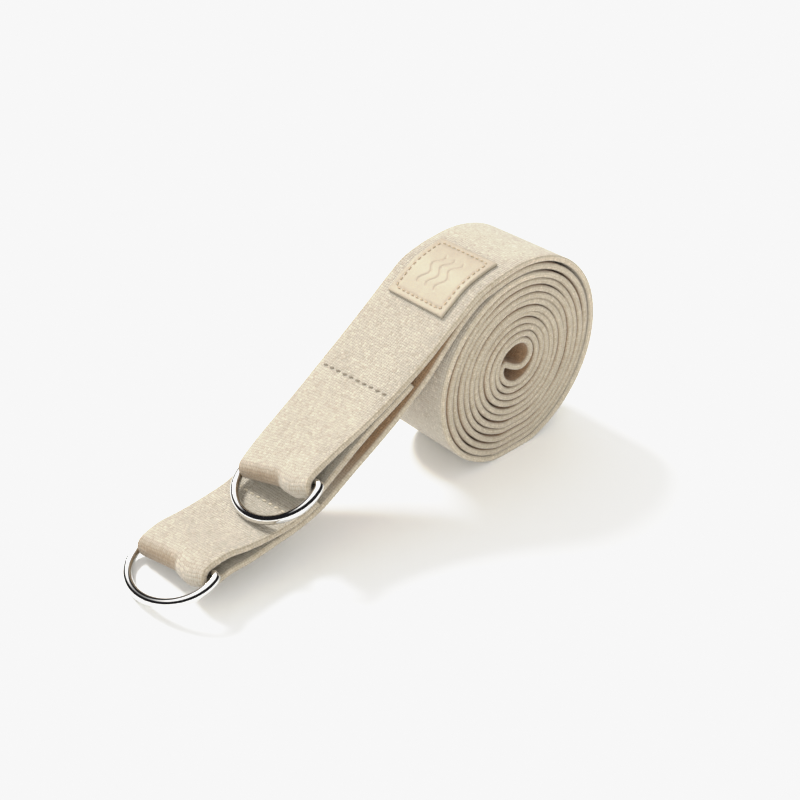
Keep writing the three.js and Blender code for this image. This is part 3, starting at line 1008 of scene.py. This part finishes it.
# painted shade: the needle thread that shows on the upper end is coloured dark, for the shade in its sunk
# stitches
painted_shade_thread = thread("painted_shade_thread", colour(0.30, 0.255, 0.19), colour(0.17, 0.14, 0.10))
pale_thread = thread("pale_thread", colour(0.72, 0.66, 0.53), colour(0.52, 0.46, 0.35))
label_thread = thread("label_thread", colour(0.50, 0.41, 0.28), colour(0.38, 0.30, 0.20))
dress(webbing, cotton(), "strap")
dress(upper_needle, painted_shade_thread, "strap")
dress(upper_bobbin, pale_thread, "strap")
dress(lower_needle, pale_thread, "strap")
dress(lower_bobbin, pale_thread, "strap")
dress(label, leather(), "strap")
dress(label_stitches, label_thread, "strap")
ring_finish = nickel()
dress(upper_ring, ring_finish, "upper_ring")
dress(lower_ring, ring_finish, "lower_ring")

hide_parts("webbing_roll", "webbing_upper_end", "webbing_lower_end")
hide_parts("upper_end_needle_thread")
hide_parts("upper_end_bobbin_thread")
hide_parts("lower_end_needle_thread")
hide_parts("lower_end_bobbin_thread")
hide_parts("label")
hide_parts("label_thread")
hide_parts("upper_d_ring")
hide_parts("lower_d_ring")


# ---------------------------------------------------------------- floor and light

FLOOR_REACH = 4.0
DOME_LIGHT = 0.83
CEILING_TOWARDS = (-0.05, 0.32, 1.0)        # where what shines sees a bright ceiling
CEILING_FROM, CEILING_TO = 0.70, 0.78       # where it sets in, as a direction's dot product with that
# how bright each light value comes out: straight up to a mid tone, then levelling off under pure white
TONES = [(0.0, 0.0), (0.60, 0.60), (0.83, 0.865), (1.20, 0.945)]
ALL_CHANNELS = 3            # which of the tone curves acts on red, green and blue together


def add_floor():
    """A plain pale floor with hardly any variation."""
    n = Nodes("pale_floor")
    shade = n.noise(n.where(), 3.0, 2.0)
    n.shade(Base_Color=n.mix(shade, colour(0.92, 0.925, 0.92), colour(0.94, 0.945, 0.94)), Roughness=0.9)
    n.shade(Specular_IOR_Level=0.1)
    corners = [(x * FLOOR_REACH, y * FLOOR_REACH, 0) for x, y in ((-1, -1), (1, -1), (1, 1), (-1, 1))]
    mesh = bpy.data.meshes.new("floor")
    mesh.from_pydata(corners, [], [(0, 1, 2, 3)])
    mesh.materials.append(n.material)
    floor = bpy.data.objects.new("floor", mesh)
    bpy.context.scene.collection.objects.link(floor)


def add_sun(name, energy, spread, towards):
    """A sun that shines from one direction, spread degrees wide."""
    data = bpy.data.lights.new(name, "SUN")
    data.energy = energy
    data.angle = math.radians(spread)
    lamp = bpy.data.objects.new(name, data)
    lamp.rotation_euler = Vector(towards).to_track_quat("Z", "Y").to_euler()
    bpy.context.scene.collection.objects.link(lamp)
    return lamp


def add_world():
    """An even studio dome. What shines sees it dark round the sides, with a bright ceiling."""
    world = bpy.data.worlds.new("studio")
    world.use_nodes = True
    nodes = world.node_tree.nodes
    nodes.clear()
    out = nodes.new("ShaderNodeOutputWorld")
    mix = nodes.new("ShaderNodeMixShader")
    path = nodes.new("ShaderNodeLightPath")
    coordinates = nodes.new("ShaderNodeTexCoord")
    even = nodes.new("ShaderNodeBackground")
    even.inputs["Color"].default_value = colour(1.0, 0.99, 0.97)
    even.inputs["Strength"].default_value = DOME_LIGHT
    reflected = nodes.new("ShaderNodeBackground")
    slope = nodes.new("ShaderNodeVectorMath")
    slope.operation = "DOT_PRODUCT"
    slope.inputs[1].default_value = CEILING_TOWARDS
    ramp = nodes.new("ShaderNodeValToRGB")
    sides, ceiling = ramp.color_ramp.elements
    sides.position = CEILING_FROM
    sides.color = colour(0.015, 0.015, 0.018)
    ceiling.position = CEILING_TO
    ceiling.color = colour(1.5, 1.5, 1.5)
    link = world.node_tree.links.new
    link(coordinates.outputs["Generated"], slope.inputs[0])
    link(slope.outputs["Value"], ramp.inputs[0])
    link(ramp.outputs[0], reflected.inputs["Color"])
    link(path.outputs["Is Glossy Ray"], mix.inputs[0])
    link(even.outputs[0], mix.inputs[1])
    link(reflected.outputs[0], mix.inputs[2])
    link(mix.outputs[0], out.inputs[0])
    bpy.context.scene.world = world


def set_exposure():
    """Whites level off just under pure white, as on a print."""
    view = bpy.context.scene.view_settings
    view.view_transform = "Standard"
    view.use_curve_mapping = True
    curve = view.curve_mapping
    curve.extend = "HORIZONTAL"
    points = curve.curves[ALL_CHANNELS].points
    points[0].location = TONES[0]
    points[-1].location = TONES[-1]
    for tone in TONES[1:-1]:
        points.new(*tone)
    curve.clip_max_x = 2.0
    curve.update()


add_floor()
add_sun("key", 3.05, 16, (-0.05, 0.67, 0.74))
add_sun("fill", 2.1, 70, (-0.58, -0.81, 0.07)).visible_glossy = False
add_world()
set_exposure()
